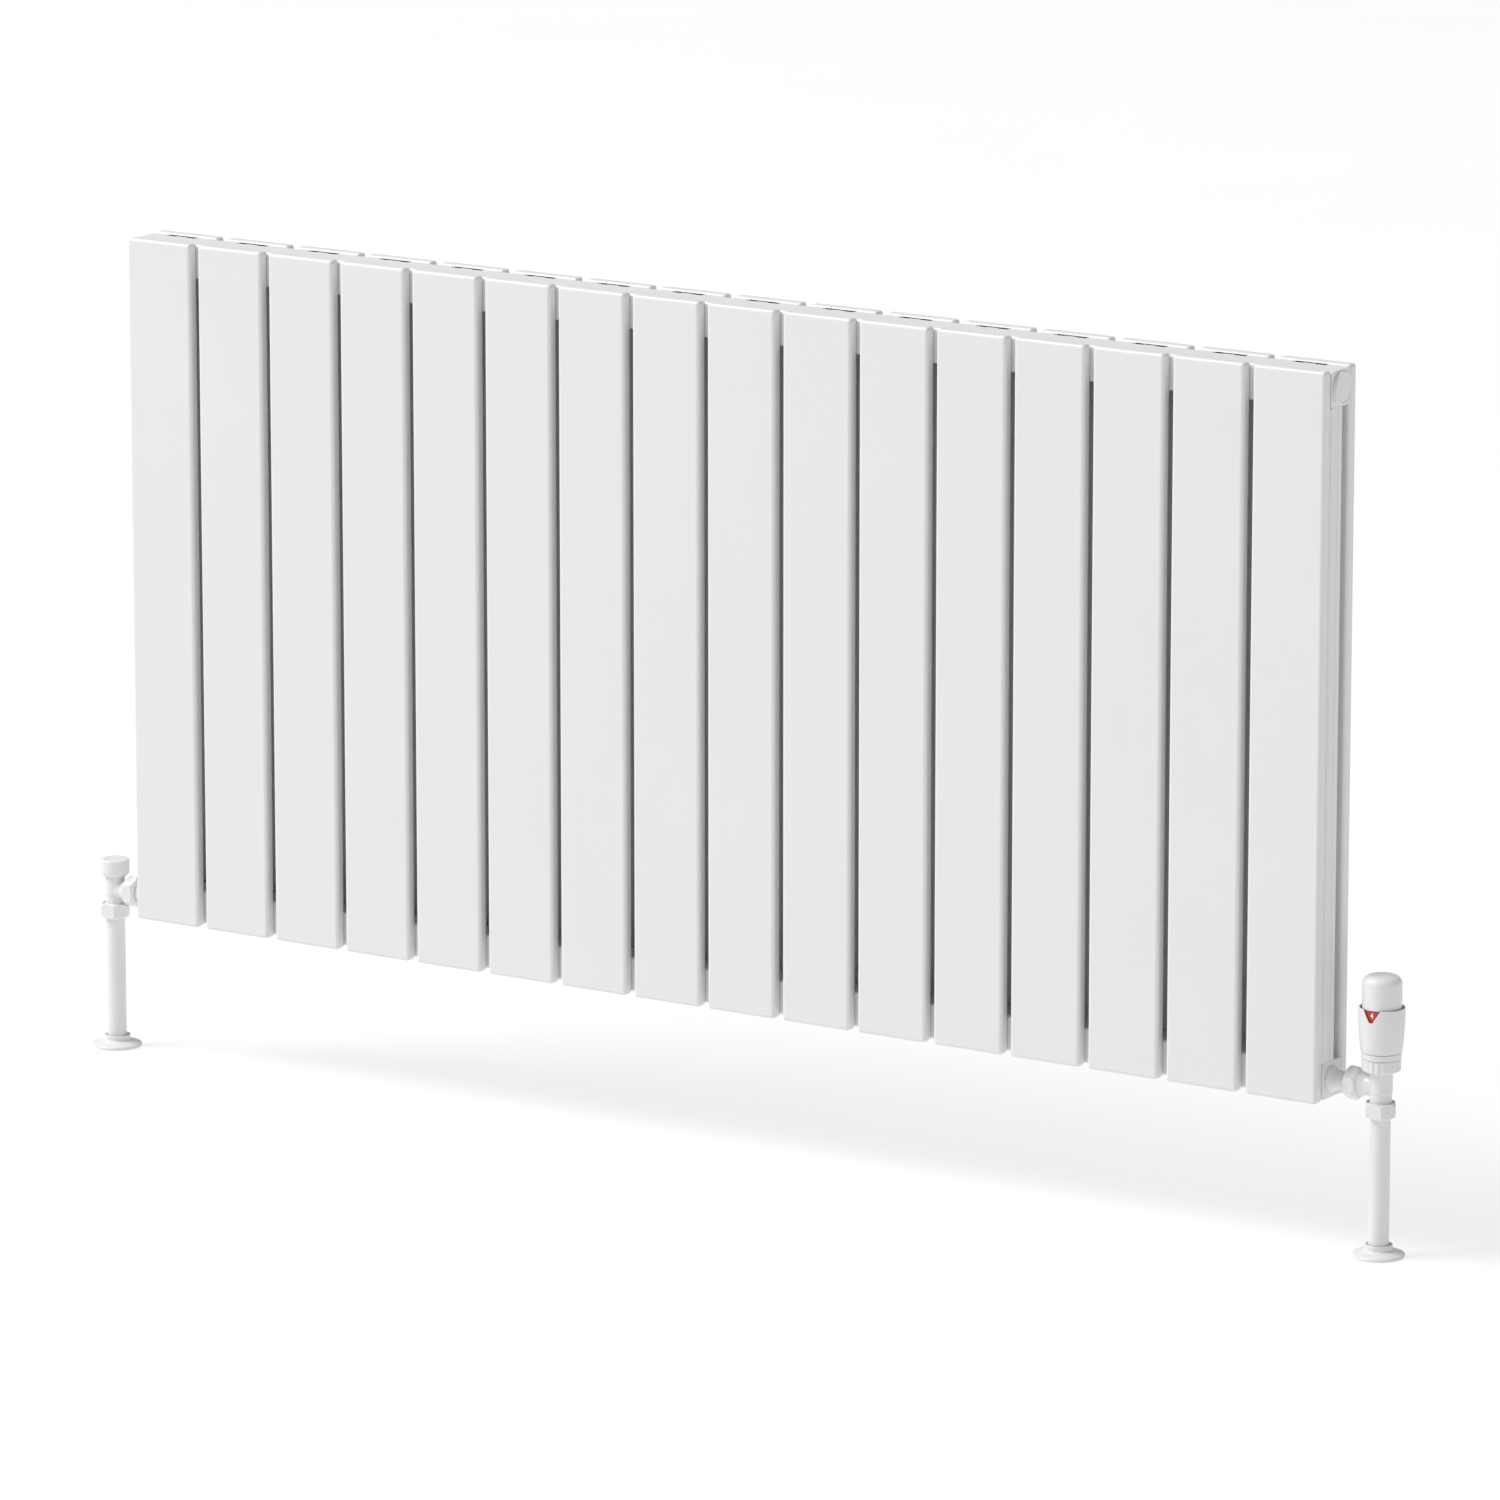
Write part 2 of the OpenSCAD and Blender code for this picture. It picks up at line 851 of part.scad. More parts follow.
// welded strap that hangs over a bracket's tongue
module hanging_lugs() {
  strap = 2.4;
  strap_height = 22;
  wing = 10.6;
  pocket_width = arm_width + 4;
  pocket = bracket_thick + 2 * tongue_gap;
  outer_width = pocket_width + 2 * strap;
  color(white)
    at_brackets()
      translate([0, -wall_gap, arm_rise])
        linear_extrude(strap_height)
          difference() {
            union() {
              translate([-outer_width / 2 - wing, 0])
                square([outer_width + 2 * wing, strap]);
              translate([-outer_width / 2, 0])
                square([outer_width, pocket + strap]);
            }
            translate([-pocket_width / 2, -over])
              square([pocket_width, pocket + over]);
          }
}

// ---- nodes -----------------------------------------------------------

for (i = [0 : panel_count - 1]) {
  panel_at(i, front_row_y, 1);
  panel_at(i, back_row_y, -1);
}
top_header();
bottom_header();
end_risers();
blanking_plug();
vent_plug();
vent_screw();
union_tails();
union_nuts();
compression_nuts();
pipes();
pipe_covers();
floor_collars();
trv_body();
trv_insert();
trv_spindle();
trv_spring();
trv_head_nut();
trv_head_base();
trv_handwheel();
trv_scale_ring();
trv_sensor();
trv_sensor_cap();
lock_body();
lock_spindle();
lock_plug();
lock_cap();
wall_brackets();
hanging_lugs();
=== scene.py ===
from math import atan2, cos, pi, radians, sin, tau

import bmesh
import bpy
from mathutils import Matrix, Vector


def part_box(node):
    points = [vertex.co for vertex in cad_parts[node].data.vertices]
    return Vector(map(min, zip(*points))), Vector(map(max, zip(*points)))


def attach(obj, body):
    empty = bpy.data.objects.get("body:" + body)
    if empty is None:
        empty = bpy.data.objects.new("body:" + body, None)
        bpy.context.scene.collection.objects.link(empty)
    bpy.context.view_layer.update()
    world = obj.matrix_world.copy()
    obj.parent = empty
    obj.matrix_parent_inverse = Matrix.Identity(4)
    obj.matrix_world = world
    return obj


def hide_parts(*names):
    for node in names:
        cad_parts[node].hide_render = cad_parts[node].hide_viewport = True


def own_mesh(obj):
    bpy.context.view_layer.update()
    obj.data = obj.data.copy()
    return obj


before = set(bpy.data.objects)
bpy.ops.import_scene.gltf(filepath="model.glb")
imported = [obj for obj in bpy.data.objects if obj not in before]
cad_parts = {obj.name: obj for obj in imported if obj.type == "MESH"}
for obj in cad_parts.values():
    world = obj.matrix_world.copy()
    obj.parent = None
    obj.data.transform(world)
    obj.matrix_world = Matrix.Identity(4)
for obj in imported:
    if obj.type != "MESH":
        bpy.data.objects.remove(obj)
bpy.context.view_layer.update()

MM = 0.001
TURN = 96  # facets round a turned piece
HERE = Matrix.Identity(4)


# ---- places taken from the frame --------------------------------------------

def lo(node):
    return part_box(node)[0]


def hi(node):
    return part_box(node)[1]


def middle(node):
    low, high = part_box(node)
    return (low + high) / 2


FRONT = [n for n in sorted(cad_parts) if n.startswith("front_panel")]
BACK = [n for n in sorted(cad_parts) if n.startswith("back_panel")]
PIPE_LINE = middle("bottom_header").z
VALVE_Y = middle("bottom_header").y
TRV = Vector((middle("trv_sensor_cap").x, VALVE_Y, PIPE_LINE))
LOCK = Vector((middle("lock_cap").x, VALVE_Y, PIPE_LINE))
END_RIGHT = hi("bottom_header").x
END_LEFT = lo("bottom_header").x
FLOOR_Z = lo("floor_collars").z
# a valve's own frame: +Z up, +X towards the radiator
AT_TRV = Matrix.Translation(TRV) @ Matrix.Rotation(pi, 4, "Z")
AT_LOCK = Matrix.Translation(LOCK)
# a header end's own frame: +Z pointing away from the header
AT_RIGHT_END = (Matrix.Translation((END_RIGHT, VALVE_Y, PIPE_LINE))
                @ Matrix.Rotation(pi / 2, 4, "Y"))
AT_LEFT_END = (Matrix.Translation((END_LEFT, VALVE_Y, PIPE_LINE))
               @ Matrix.Rotation(-pi / 2, 4, "Y"))
VALVES = (AT_TRV, AT_LOCK)
HEADER_ENDS = (AT_RIGHT_END, AT_LEFT_END)
TOP_LINE = Matrix.Translation((0, 0, middle("top_header").z - PIPE_LINE))


# ---- shader nodes -----------------------------------------------------------

def add(tree, kind, values=(), **settings):
    """A node in tree, its inputs set or linked from {input: value or socket}."""
    made = tree.nodes.new(kind)
    for name, value in settings.items():
        setattr(made, name, value)
    for name, value in dict(values).items():
        if isinstance(value, bpy.types.NodeSocket):
            tree.links.new(value, made.inputs[name])
        else:
            made.inputs[name].default_value = value
    return made


def noise(tree, where, scale, detail=2.0, rough=0.5):
    return add(tree, "ShaderNodeTexNoise", {"Vector": where, "Scale": scale, "Detail": detail,
                                            "Roughness": rough}).outputs["Fac"]


def spread(tree, value, low, high, start=0.35, end=0.65):
    """value from start..end carried over to low..high; either may be a socket."""
    return add(tree, "ShaderNodeMapRange", {"Value": value, "From Min": start, "From Max": end,
                                            "To Min": low, "To Max": high}).outputs["Result"]


def mixed(tree, share, a, b):
    blend = add(tree, "ShaderNodeMix", data_type="RGBA")
    for socket, value in ((blend.inputs[0], share), (blend.inputs[6], a), (blend.inputs[7], b)):
        if isinstance(value, bpy.types.NodeSocket):
            tree.links.new(value, socket)
        else:
            socket.default_value = value
    return blend.outputs[2]


def maths(tree, operation, a, b=0.0):
    made = tree.nodes.new("ShaderNodeMath")
    made.operation = operation
    for socket, value in ((made.inputs[0], a), (made.inputs[1], b)):
        if isinstance(value, bpy.types.NodeSocket):
            tree.links.new(value, socket)
        else:
            socket.default_value = value
    return made.outputs[0]


def effect(name, first, second, measure):
    """An empty effect group: two colours, one measure and a range of gloss go in, and a
    colour, a roughness and a height come out. Returns it with its two end nodes."""
    tree = bpy.data.node_groups.new(name, "ShaderNodeTree")
    for label, kind in (("Where", "Vector"), (first, "Color"), (second, "Color"),
                        (measure, "Float"), ("Gloss low", "Float"), ("Gloss high", "Float")):
        tree.interface.new_socket(label, in_out="INPUT", socket_type="NodeSocket" + kind)
    for label, kind in (("Color", "Color"), ("Roughness", "Float"), ("Height", "Float")):
        tree.interface.new_socket(label, in_out="OUTPUT", socket_type="NodeSocket" + kind)
    return tree, tree.nodes.new("NodeGroupInput").outputs, tree.nodes.new("NodeGroupOutput").inputs


def paint_film():
    """Sprayed and baked paint: faint clouding, orange peel and small changes of gloss."""
    tree, given, out = effect("paint film", "Tint", "Cloud", "Peel")
    where = given["Where"]
    cloud = spread(tree, noise(tree, where, 7.0, 3.0), 0.0, 1.0, 0.2, 0.8)
    speck = spread(tree, noise(tree, where, 900.0, 1.0), 0.0, 0.35, 0.55, 0.8)
    share = maths(tree, "ADD", maths(tree, "MULTIPLY", cloud, 0.75), speck)
    gloss = spread(tree, noise(tree, where, 34.0, 4.0), given["Gloss low"], given["Gloss high"],
                   0.3, 0.7)
    peel = noise(tree, where, given["Peel"], 2.0, 0.4)
    waves = noise(tree, where, 55.0, 1.0)
    tree.links.new(mixed(tree, share, given["Tint"], given["Cloud"]), out["Color"])
    tree.links.new(gloss, out["Roughness"])
    tree.links.new(maths(tree, "ADD", maths(tree, "MULTIPLY", peel, 0.5), waves), out["Height"])
    return tree


def moulded_grain():
    """Moulded plastic: fine matt grain from the tool, with slight flow marks."""
    tree, given, out = effect("moulded grain", "Tint", "Flow", "Grain")
    where = given["Where"]
    flow = spread(tree, noise(tree, where, 38.0, 2.0), 0.0, 1.0)
    grain = add(tree, "ShaderNodeTexVoronoi",
                {"Vector": where, "Scale": given["Grain"]}).outputs["Distance"]
    gloss = spread(tree, grain, given["Gloss low"], given["Gloss high"], 0.1, 0.7)
    tree.links.new(mixed(tree, flow, given["Tint"], given["Flow"]), out["Color"])
    tree.links.new(gloss, out["Roughness"])
    tree.links.new(grain, out["Height"])
    return tree


def turned_lines():
    """Metal from the lathe or the drawing die: fine lines with dull patches."""
    tree, given, out = effect("turned lines", "Bright", "Dull", "Pitch")
    along = add(tree, "ShaderNodeSeparateXYZ", {"Vector": given["Where"]}).outputs["Z"]
    step = maths(tree, "MULTIPLY", along, given["Pitch"])
    lines = add(tree, "ShaderNodeTexNoise", {"W": step, "Scale": 1.0, "Detail": 2.0},
                noise_dimensions="1D").outputs["Fac"]
    patch = spread(tree, noise(tree, given["Where"], 160.0, 5.0, 0.6), 0.0, 1.0)
    share = maths(tree, "ADD", maths(tree, "MULTIPLY", patch, 0.7),
                  maths(tree, "MULTIPLY", lines, 0.3))
    gloss = spread(tree, share, given["Gloss low"], given["Gloss high"], 0.0, 1.0)
    tree.links.new(mixed(tree, share, given["Bright"], given["Dull"]), out["Color"])
    tree.links.new(gloss, out["Roughness"])
    tree.links.new(lines, out["Height"])
    return tree


PAINT_FILM = paint_film()
MOULDED_GRAIN = moulded_grain()
TURNED_LINES = turned_lines()


def finish_of(name, group, values, bump, depth, turn=(0, 0, 0), **shader):
    """A material: one effect group feeding one Principled shader."""
    material = bpy.data.materials.new(name)
    material.use_nodes = True
    tree = material.node_tree
    tree.nodes.clear()
    where = add(tree, "ShaderNodeTexCoord").outputs["Object"]
    where = add(tree, "ShaderNodeMapping", {"Vector": where, "Rotation": turn}).outputs["Vector"]
    made = add(tree, "ShaderNodeGroup", node_tree=group)
    tree.links.new(where, made.inputs["Where"])
    for label, value in values.items():
        made.inputs[label].default_value = value
    relief = add(tree, "ShaderNodeBump", {"Strength": bump, "Distance": depth,
                                          "Height": made.outputs["Height"]})
    surface = add(tree, "ShaderNodeBsdfPrincipled", {
        "Base Color": made.outputs["Color"], "Roughness": made.outputs["Roughness"],
        "Normal": relief.outputs["Normal"]})
    for label, value in shader.items():
        surface.inputs[label.replace("_", " ")].default_value = value
    out = tree.nodes.new("ShaderNodeOutputMaterial")
    tree.links.new(surface.outputs["BSDF"], out.inputs["Surface"])
    return material


def grey(level, warm=0.0):
    return (level + warm, level, level - warm, 1.0)


def painted(name, level, cloud, peel, gloss, bump=0.25):
    return finish_of(name, PAINT_FILM, {
        "Tint": grey(level, 0.001), "Cloud": grey(cloud, 0.002), "Peel": peel,
        "Gloss low": gloss[0], "Gloss high": gloss[1]}, bump, 0.06 * MM)


def moulded(name, tint, flow, grain, gloss, bump=0.2):
    return finish_of(name, MOULDED_GRAIN, {
        "Tint": tint, "Flow": flow, "Grain": grain,
        "Gloss low": gloss[0], "Gloss high": gloss[1]}, bump, 0.03 * MM)


def metal(name, bright, dull, pitch, gloss, turn=(0, 0, 0), bump=0.3):
    return finish_of(name, TURNED_LINES, {
        "Bright": bright, "Dull": dull, "Pitch": pitch,
        "Gloss low": gloss[0], "Gloss high": gloss[1]}, bump, 0.02 * MM, turn, Metallic=1.0)


def dark_above(material, height, fade, colour):
    """Darkens a material above a height: painted shade, for an edge that sits in a shadowed gap.
    """
    tree = material.node_tree
    surface = next(n for n in tree.nodes if n.type == "BSDF_PRINCIPLED")
    print_colour = surface.inputs["Base Color"].links[0].from_socket
    where = add(tree, "ShaderNodeTexCoord").outputs["Object"]
    level = add(tree, "ShaderNodeSeparateXYZ", {"Vector": where}).outputs["Z"]
    share = spread(tree, level, 0.0, 1.0, height - fade, height + fade)
    tree.links.new(mixed(tree, share, print_colour, colour), surface.inputs["Base Color"])


SIDEWAYS = (0, pi / 2, 0)
PANEL_PAINT = painted("panel enamel", 0.80, 0.785, 420.0, (0.30, 0.38))
HEADER_PAINT = painted("header enamel", 0.80, 0.785, 360.0, (0.34, 0.44), 0.35)
WELD_PAINT = painted("weld enamel", 0.78, 0.75, 520.0, (0.36, 0.5), 0.6)
BRACKET_PAINT = painted("bracket enamel", 0.77, 0.745, 380.0, (0.38, 0.5), 0.4)
FITTING_PAINT = painted("fitting enamel", 0.80, 0.785, 650.0, (0.24, 0.33), 0.2)
HEAD_PLASTIC = moulded("head plastic", grey(0.80), grey(0.79), 3200.0, (0.36, 0.46))
CAP_PLASTIC = moulded("cap plastic", grey(0.81), grey(0.80), 2600.0, (0.26, 0.34), 0.12)
COVER_PLASTIC = moulded("cover plastic", grey(0.80, 0.001), grey(0.79), 2400.0, (0.28, 0.36),
                        0.1)
SCALE_RED = moulded("scale red", (0.62, 0.045, 0.02, 1), (0.52, 0.03, 0.014, 1), 3000.0,
                    (0.35, 0.5))
SCALE_WHITE = moulded("scale print", grey(0.9), grey(0.86), 3000.0, (0.4, 0.55), 0.1)
# near-black metal: painted shade for the deep, narrow weld gaps, on the gap walls and on thin
# sheets inside them
PAINTED_GAP_SHADE = metal("painted gap shade", grey(0.05), grey(0.02), 900.0, (0.6, 0.8))
BRIGHT_BRASS = (0.80, 0.60, 0.28, 1)
DULL_BRASS = (0.62, 0.44, 0.20, 1)
BRASS = metal("turned brass", BRIGHT_BRASS, DULL_BRASS, 5200.0, (0.22, 0.4))
BRASS_SIDE = metal("turned brass across", BRIGHT_BRASS, DULL_BRASS, 5200.0, (0.22, 0.4),
                   SIDEWAYS)
COPPER = metal("drawn copper", (0.80, 0.42, 0.26, 1), (0.55, 0.27, 0.17, 1), 260.0,
               (0.25, 0.45))
STEEL = metal("ground steel", grey(0.66), grey(0.52), 4200.0, (0.2, 0.36))
ALUMINIUM = metal("satin aluminium", grey(0.78), grey(0.66), 2600.0, (0.32, 0.46))


# ---- mesh helpers -----------------------------------------------------------

SHARP = radians(38)


def piece(bm, name, materials, nodes, body, place=None, even=True):
    """Turns bm into a finished piece that stands for CAD nodes and rides on a body."""
    if place is not None:
        bmesh.ops.transform(bm, matrix=place, verts=bm.verts)
    for face in bm.faces:
        face.smooth = True
    for edge in bm.edges:
        edge.smooth = len(edge.link_faces) != 2 or edge.calc_face_angle() < SHARP
    mesh = bpy.data.meshes.new(name)
    bm.to_mesh(mesh)
    bm.free()
    for material in materials:
        mesh.materials.append(material)
    made = bpy.data.objects.new(name, mesh)
    bpy.context.scene.collection.objects.link(made)
    if even:
        shading = made.modifiers.new("even shading", "WEIGHTED_NORMAL")
        shading.keep_sharp = True
    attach(made, body)
    if nodes:
        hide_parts(*nodes)
    return made


def clean(bm, within=1e-6):
    bmesh.ops.remove_doubles(bm, verts=bm.verts, dist=within)
    bmesh.ops.recalc_face_normals(bm, faces=bm.faces)
    return bm


def joined(*parts):
    """One bmesh holding several, each (bmesh, matrix)."""
    whole = bmesh.new()
    for part, place in parts:
        bmesh.ops.transform(part, matrix=place, verts=part.verts)
        mesh = bpy.data.meshes.new("part")
        part.to_mesh(mesh)
        part.free()
        whole.from_mesh(mesh)
        bpy.data.meshes.remove(mesh)
    return whole


def chained(bm, profile):
    """Edges through a profile of (radius, height, rounding), in millimetres."""
    corners = [bm.verts.new((r * MM, 0, z * MM)) for r, z, _ in profile]
    for a, b in zip(corners, corners[1:]):
        bm.edges.new((a, b))
    return corners


def softened(bm, corners, profile, fine):
    """Rounds a profile's corners; large roundings get the fine number of steps."""
    for corner, (_, _, rounding) in zip(corners, profile):
        if rounding:
            bmesh.ops.bevel(bm, geom=[corner], offset=rounding * MM,
                            segments=fine if rounding > 2 else 3, profile=0.5,
                            affect="VERTICES", material=-1)


def spun(bm, turns=TURN):
    bmesh.ops.spin(bm, geom=bm.verts[:] + bm.edges[:], cent=(0, 0, 0), axis=(0, 0, 1),
                   dvec=(0, 0, 0), angle=tau, steps=turns, use_merge=True)
    return clean(bm)


def lathe(profile, closed=True, turns=TURN):
    """A turned solid; a profile that isn't closed starts and ends on the axis."""
    bm = bmesh.new()
    corners = chained(bm, profile)
    if closed:
        bm.edges.new((corners[-1], corners[0]))
    softened(bm, corners, profile, 5)
    return spun(bm, turns)


def lathe_shell(outer, inner):
    """A turned shell that meets the axis twice: outer upwards, then inner downwards."""
    bm = bmesh.new()
    outside = chained(bm, outer)
    inside = chained(bm, inner)
    bm.edges.new((inside[-1], outside[0]))
    softened(bm, outside, outer, 8)
    softened(bm, inside, inner, 8)
    return spun(bm)


def stacked(loops, count):
    """A ring of loops in order; each loop gives (radius, height) for an angle."""
    bm = bmesh.new()
    ring = bmesh.ops.create_circle(bm, segments=count, radius=MM)["verts"]
    edges = bm.edges[:]
    first = edges
    for number, loop in enumerate(loops):
        if number:
            grown = bmesh.ops.extrude_edge_only(bm, edges=edges)["geom"]
            ring = [g for g in grown if isinstance(g, bmesh.types.BMVert)]
            edges = [g for g in grown if isinstance(g, bmesh.types.BMEdge)]
        for vert in ring:
            angle = atan2(vert.co.y, vert.co.x)
            radius, height = loop(angle)
            vert.co = Vector((radius * cos(angle), radius * sin(angle), height)) * MM
    bmesh.ops.bridge_loops(bm, edges=first + edges)
    return clean(bm)


def block(low, high, rounding, segments=3, chosen=None):
    """A box from low to high with its edges, or the chosen ones, rounded."""
    bm = bmesh.new()
    bmesh.ops.create_cube(bm, size=1)
    bmesh.ops.scale(bm, vec=high - low, verts=bm.verts)
    bmesh.ops.translate(bm, vec=(high + low) / 2, verts=bm.verts)
    edges = [e for e in bm.edges if chosen is None or chosen(e)]
    bmesh.ops.bevel(bm, geom=edges, offset=rounding, segments=segments, profile=0.5,
                    affect="EDGES", material=-1)
    return bm


def lies_along(edge, axis):
    run = edge.verts[0].co - edge.verts[1].co
    return abs(run[axis]) > 0.9 * run.length


def with_modifier(bm, kind, finishes=(), **settings):
    """bm after one modifier, as a new bmesh."""
    mesh = bpy.data.meshes.new("rough")
    for material in finishes:
        mesh.materials.append(material)
    bm.to_mesh(mesh)
    bm.free()
    holder = bpy.data.objects.new("rough", mesh)
    bpy.context.scene.collection.objects.link(holder)
    modifier = holder.modifiers.new("step", kind)
    for name, value in settings.items():
        setattr(modifier, name, value)
    graph = bpy.context.evaluated_depsgraph_get()
    result = bmesh.new()
    result.from_object(holder, graph)
    bpy.data.objects.remove(holder)
    bpy.data.meshes.remove(mesh)
    return result


def cut(bm, cutter, finishes):
    """bm with cutter taken away; faces of the cut get the last of the finishes."""
    for face in cutter.faces:
        face.material_index = len(finishes) - 1
    mesh = bpy.data.meshes.new("cutter")
    for material in finishes:
        mesh.materials.append(material)
    cutter.to_mesh(mesh)
    cutter.free()
    tool = bpy.data.objects.new("cutter", mesh)
    bpy.context.scene.collection.objects.link(tool)
    result = with_modifier(bm, "BOOLEAN", finishes, object=tool, operation="DIFFERENCE",
                           solver="EXACT", material_mode="INDEX")
    bpy.data.objects.remove(tool)
    bpy.data.meshes.remove(mesh)
    return result


def cad_copy(node):
    """A merged copy of a CAD node's own mesh."""
    bm = bmesh.new()
    bm.from_mesh(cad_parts[node].data)
    bmesh.ops.remove_doubles(bm, verts=bm.verts, dist=1e-6)
    return bm


def dressed(node, material, body, name):
    """A CAD node shown as it is, with smooth shading and its own finish."""
    return piece(cad_copy(node), name, [material], [node], body)


# ---- panels and headers -----------------------------------------------------

PANEL_ROUND = 3 * MM


def flat_panels(nodes, label):
    for number, node in enumerate(nodes, 1):
        bm = block(lo(node), hi(node), PANEL_ROUND, 5)
        piece(bm, f"{label}_{number:02d}", [PANEL_PAINT], [node], "radiator")


HEADER_ROUND = 2.5 * MM
# outline of one gap: share of the panel's width, and millimetres into the header
GAP_OUTLINE = ((0.24, -1), (0.70, -1), (0.70, 5.2), (0.56, 5.2), (0.56, 3.6), (0.39, 3.6),
               (0.39, 5.2), (0.24, 5.2))
GAP_DEPTH = 7 * MM
FRONT_GAP = 0.72  # the front joints are closer than the back ones


def prism(outline, rise):
    """A solid standing on an outline of points, rise being its height as a vector."""
    bm = bmesh.new()
    bm.faces.new([bm.verts.new(point) for point in outline])
    grown = bmesh.ops.extrude_face_region(bm, geom=bm.faces[:])["geom"]
    raised = [g for g in grown if isinstance(g, bmesh.types.BMVert)]
    bmesh.ops.translate(bm, vec=rise, verts=raised)
    bmesh.ops.recalc_face_normals(bm, faces=bm.faces)
    return bm


def weld_gaps(node):
    """The unwelded middle of each joint between a header and the panels."""
    low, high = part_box(node)
    gaps = []
    for panels, face, way in ((BACK, high.y, -1), (FRONT, low.y, FRONT_GAP)):
        for panel in panels:
            left, width = lo(panel).x, hi(panel).x - lo(panel).x
            for edge_z, inward in ((high.z, -1), (low.z, 1)):
                outline = [(left + share * width, face + way * depth * MM, edge_z - inward * MM)
                           for share, depth in GAP_OUTLINE]
                gaps.append((prism(outline, (0, 0, inward * (GAP_DEPTH + MM))), HERE))
    return joined(*gaps)


def header(node, name):
    low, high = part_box(node)
    bm = block(low, high, HEADER_ROUND, 4, lambda e: lies_along(e, 0))
    rims = [e for e in bm.edges if not lies_along(e, 0)]
    bmesh.ops.bevel(bm, geom=rims, offset=0.5 * MM, segments=2, profile=0.5, affect="EDGES",
                    material=-1)
    # the walls of the cut gaps take the near-black finish: painted shade where the narrow gaps
    # fall in shadow
    finishes = [HEADER_PAINT, PAINTED_GAP_SHADE]
    piece(cut(bm, weld_gaps(node), finishes), name, finishes, [node], "radiator")


BEAD_SHARES = ((0.02, 0.23), (0.71, 0.98))
BEAD_WIDE = 2.1 * MM
BEAD_HIGH = 1.15 * MM
BEAD_SUNK = 1.0 * MM
BEAD_OFF = 0.9 * MM  # from the panel's face to the bead's middle
GAP_SHARES = (0.245, 0.695)
# thickness of the thin dark sheets that paint shade into the weld gaps
GAP_SHADE_SHEET = 0.3 * MM
GAP_LIP = 0.1 * MM


def weld_bead(low_x, high_x, y, z, up):
    """A short rippled bead along X that fills the groove beside a header."""
    length = high_x - low_x
    bm = bmesh.new()
    bmesh.ops.create_uvsphere(bm, u_segments=8, v_segments=12, radius=1)
    bmesh.ops.rotate(bm, cent=(0, 0, 0), matrix=Matrix.Rotation(pi / 2, 3, "Y"), verts=bm.verts)
    for vert in bm.verts:
        reach = abs(vert.co.x)
        blunt = max((1 - reach ** 2) ** 0.5, 0.1)
        fat = 1 if reach > 0.98 else (1 - reach ** 6) ** 0.5 / blunt
        ripple = 1 + 0.07 * sin(vert.co.x * length / MM * 2.1)
        vert.co = Vector((vert.co.x * length / 2, vert.co.y * BEAD_WIDE * fat * ripple,
                          vert.co.z * BEAD_HIGH * fat * ripple * up))
    bmesh.ops.translate(bm, vec=((low_x + high_x) / 2, y, z), verts=bm.verts)
    return bm


def header_welds(node, name):
    """Weld beads beside a header, and thin near-black sheets in the gaps between them: painted
    shade for the shadow deep in the gaps.
    """
    low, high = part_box(node)
    beads = []
    for panels, face, way in ((BACK, high.y, -1), (FRONT, low.y, 1)):
        ys = sorted((face, face + way * GAP_SHADE_SHEET))
        for panel in panels:
            left, width = lo(panel).x, hi(panel).x - lo(panel).x
            for start, end in BEAD_SHARES:
                for z, up in ((high.z - BEAD_SUNK, 1), (low.z + BEAD_SUNK, -1)):
                    bead = weld_bead(left + start * width, left + end * width,
                                     face + way * BEAD_OFF, z, up)
                    beads.append((bead, HERE))
            start, end = (left + share * width for share in GAP_SHARES)
            for z0, z1 in ((low.z + GAP_LIP, low.z + GAP_DEPTH),
                           (high.z - GAP_DEPTH, high.z - GAP_LIP)):
                # a thin dark sheet standing in the gap: painted shade
                shade_sheet = block(Vector((start, ys[0], z0)), Vector((end, ys[1], z1)), 0.05 * MM, 1)
                for part in shade_sheet.faces:
                    part.material_index = 1
                beads.append((shade_sheet, HERE))
    bm = joined(*beads)
    bmesh.ops.recalc_face_normals(bm, faces=bm.faces)
    piece(bm, name, [WELD_PAINT, PAINTED_GAP_SHADE], [], "radiator", even=False)


SEAM_SHARE = 0.56
RISER_WIDTH = 30 * MM


def risers():
    """The flat tubes inside the ends, with the tube's weld seam down the outer side."""
    low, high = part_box("end_risers")
    parts = []
    for start, outward in ((low.x, -1), (high.x - RISER_WIDTH, 1)):
        a = Vector((start, low.y, low.z))
        b = Vector((start + RISER_WIDTH, high.y, high.z))
        bm = block(a, b, PANEL_ROUND, 5, lambda e: lies_along(e, 2))
        seam = low.y + SEAM_SHARE * (high.y - low.y)
        for y in (seam - 0.4 * MM, seam + 0.4 * MM):
            bmesh.ops.bisect_plane(bm, geom=bm.verts[:] + bm.edges[:] + bm.faces[:],
                                   plane_co=(0, y, 0), plane_no=(0, 1, 0))
        strip = [f for f in bm.faces if f.normal.x * outward > 0.9
                 and abs(f.calc_center_median().y - seam) < 0.3 * MM]
        bmesh.ops.inset_region(bm, faces=strip, thickness=0.15 * MM, depth=-0.35 * MM)
        parts.append((bm, HERE))
    piece(joined(*parts), "end_risers_tubes", [HEADER_PAINT], ["end_risers"],
          "radiator")


# ---- end plugs --------------------------------------------------------------

def plug_flange(hole):
    """A disc with a raised rim; hole is the radius left open in the middle."""
    rim = 13.3
    inner = [(hole, 2.9, 0.2)] if hole else [(0, 2.9, 0)]
    foot = [(hole, -2, 0)]
    outside = [(9.4, -2, 0), (9.4, 0.05, 0), (rim, 0.05, 0.25), (rim, 3.4, 0.7),
               (rim - 1.5, 3.4, 0.35), (rim - 2.2, 2.9, 0.3)]
    return lathe(foot + outside + inner, closed=bool(hole))


